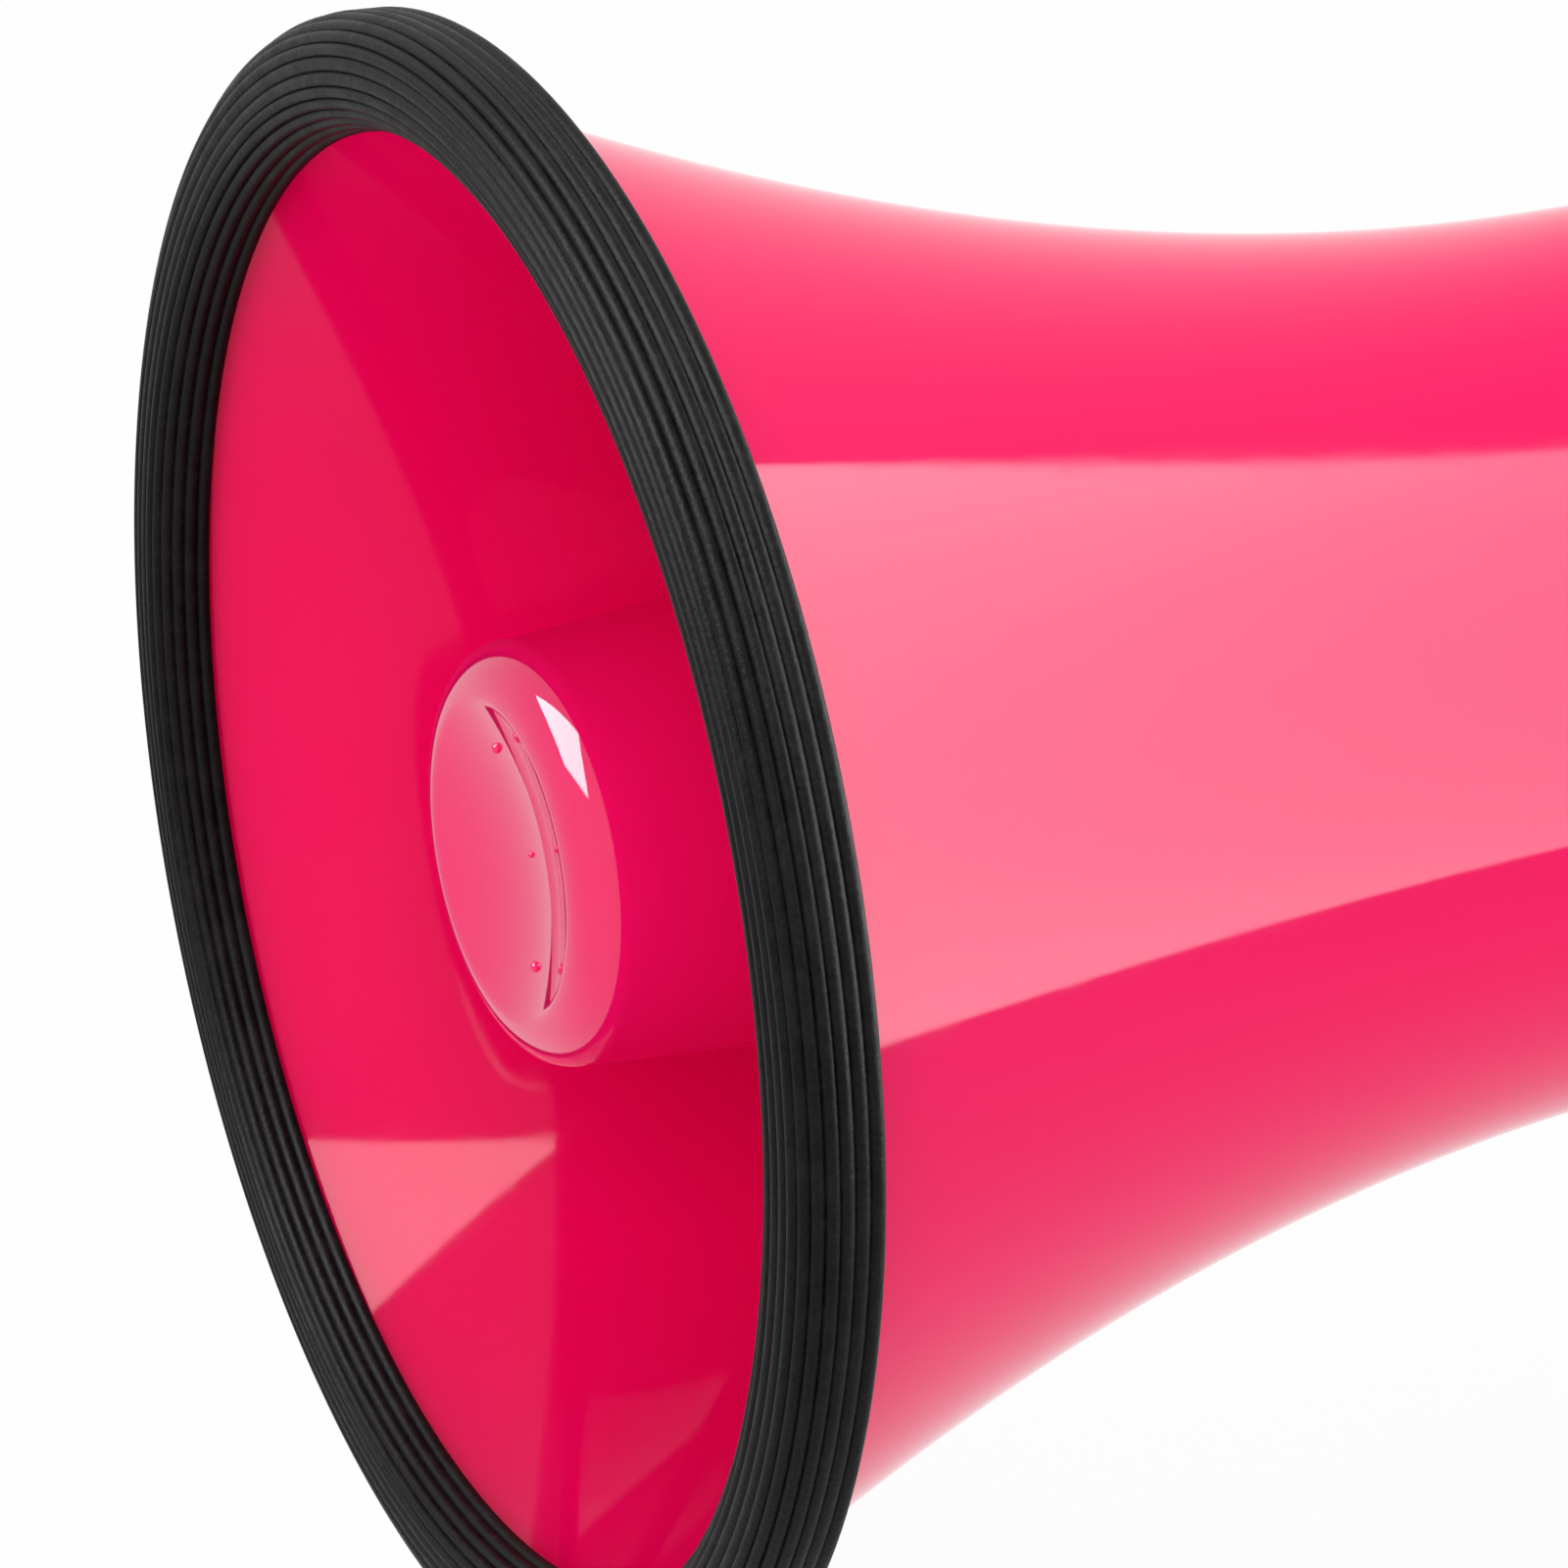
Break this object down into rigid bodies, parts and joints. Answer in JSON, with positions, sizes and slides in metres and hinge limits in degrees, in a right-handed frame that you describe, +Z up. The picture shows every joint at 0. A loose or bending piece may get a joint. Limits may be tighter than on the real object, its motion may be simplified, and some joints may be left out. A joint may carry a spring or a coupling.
{
  "type": "handheld megaphone",
  "caption": "Pistol-grip megaphone: flared folded-horn bell with rubber rim and centre reflector, driver, battery housing, hinged control cover and trigger grip.",
  "frame": {"origin": "centre of the mouth plane, on the horn's axis, at the rubber rim's front face", "axes": "+X rearward along the horn's axis (the mouth faces -X), +Z up, the grip hangs towards -Z, +Y to the holder's left"},
  "size_m": [0.34, 0.205, 0.2565],
  "materials": {
    "bell_pink": "high gloss hot pink ABS",
    "rim_rubber": "matte ribbed black rubber",
    "charcoal": "fine-grained charcoal ABS",
    "button_red": "gloss red",
    "knob_black": "satin black",
    "grille_metal": "black coated steel",
    "foam": "open-cell foam",
    "steel": "zinc plated",
    "plate_steel": "passivated",
    "ferrite": "sintered ferrite",
    "copper": "enamelled copper",
    "membrane": "phenolic film",
    "gasket": "soft foam rubber",
    "board": "green solder mask",
    "component_black": "moulded epoxy",
    "aluminium": "extruded, plain",
    "cell_wrap": "plain printed sleeve",
    "tray_grey": "grey ABS",
    "lamp": "green diffused lens",
    "contact": "nickel plated",
    "lead_red": "PVC insulation"
  },
  "bodies": {
    "horn_body": {"amplifier_board": "board", "battery_cells": "cell_wrap", "battery_lid": "tray_grey", "battery_tray": "tray_grey", "bell_shell": "bell_pink", "board_screws": "steel", "capacitors": "component_black", "chips": "component_black", "cover_hinge_pin": "steel", "cup_screws": "steel", "diaphragm": "membrane", "driver_front": "component_black", "driver_gasket": "gasket", "driver_leads": "lead_red", "driver_screws": "steel", "driver_terminals": "contact", "front_contacts": "contact", "grip_left": "charcoal", "grip_mount_screws": "steel", "grip_right": "charcoal", "grip_screws": "steel", "heat_sink": "aluminium", "housing_screws": "steel", "magnet_ring": "ferrite", "output_transformer": "plate_steel", "phase_plug": "component_black", "pole_yoke": "plate_steel", "rear_contacts": "contact", "rear_housing": "bell_pink", "reflector_cup": "bell_pink", "rim_bumper": "rim_rubber", "strap_eye": "steel", "talk_switch": "knob_black", "throat_horn": "bell_pink", "throat_screws": "steel", "top_plate": "plate_steel", "trigger_pin": "steel", "trigger_spring": "steel", "voice_coil": "copper"},
    "trigger": {"trigger": "button_red"},
    "talk_plunger": {"talk_plunger": "knob_black"},
    "rear_cover": {"rear_cover": "charcoal", "cover_seal": "gasket", "mic_grille": "grille_metal", "mic_foam": "foam", "mic_capsule": "aluminium", "mic_holder": "charcoal", "control_board": "board", "panel_screws": "steel", "volume_pot": "component_black", "mode_switch": "charcoal", "siren_switch": "knob_black", "power_lamp": "lamp", "aux_jack": "component_black"},
    "volume_knob": {"volume_knob": "knob_black", "volume_shaft": "steel"},
    "mode_slider": {"mode_slider": "knob_black"},
    "siren_button": {"siren_button": "button_red"}
  },
  "joints": [
    {"name": "trigger_pull", "type": "hinge", "parent": "horn_body", "child": "trigger", "pos_m": [0.243, 0, -0.083], "axis": [0, -1, 0], "range_deg": [0, 8], "stiffness_Nm_per_rad": 0.5, "springref_deg": -5.73, "deforming": ["trigger_spring"]},
    {"name": "talk_plunger_slide", "type": "slide", "parent": "horn_body", "child": "talk_plunger", "axis": [1, 0, 0], "range_m": [0, 0.0028]},
    {"name": "cover_open", "type": "hinge", "parent": "horn_body", "child": "rear_cover", "pos_m": [0.314, 0, -0.0705], "axis": [0, 1, 0], "range_deg": [0, 95]},
    {"name": "volume_turn", "type": "hinge", "parent": "rear_cover", "child": "volume_knob", "pos_m": [0.33, -0.028, -0.012], "axis": [1, 0, 0], "range_deg": [-140, 140]},
    {"name": "mode_slide", "type": "slide", "parent": "rear_cover", "child": "mode_slider", "axis": [0, 0, 1], "range_m": [-0.004, 0.004]},
    {"name": "siren_press", "type": "slide", "parent": "rear_cover", "child": "siren_button", "axis": [-1, 0, 0], "range_m": [0, 0.0015], "stiffness_N_per_m": 400, "springref_m": -0.002}
  ],
  "couplings": [
    {"joint": "talk_plunger_slide", "follows": "trigger_pull", "m_per_rad": 0.019}
  ]
}
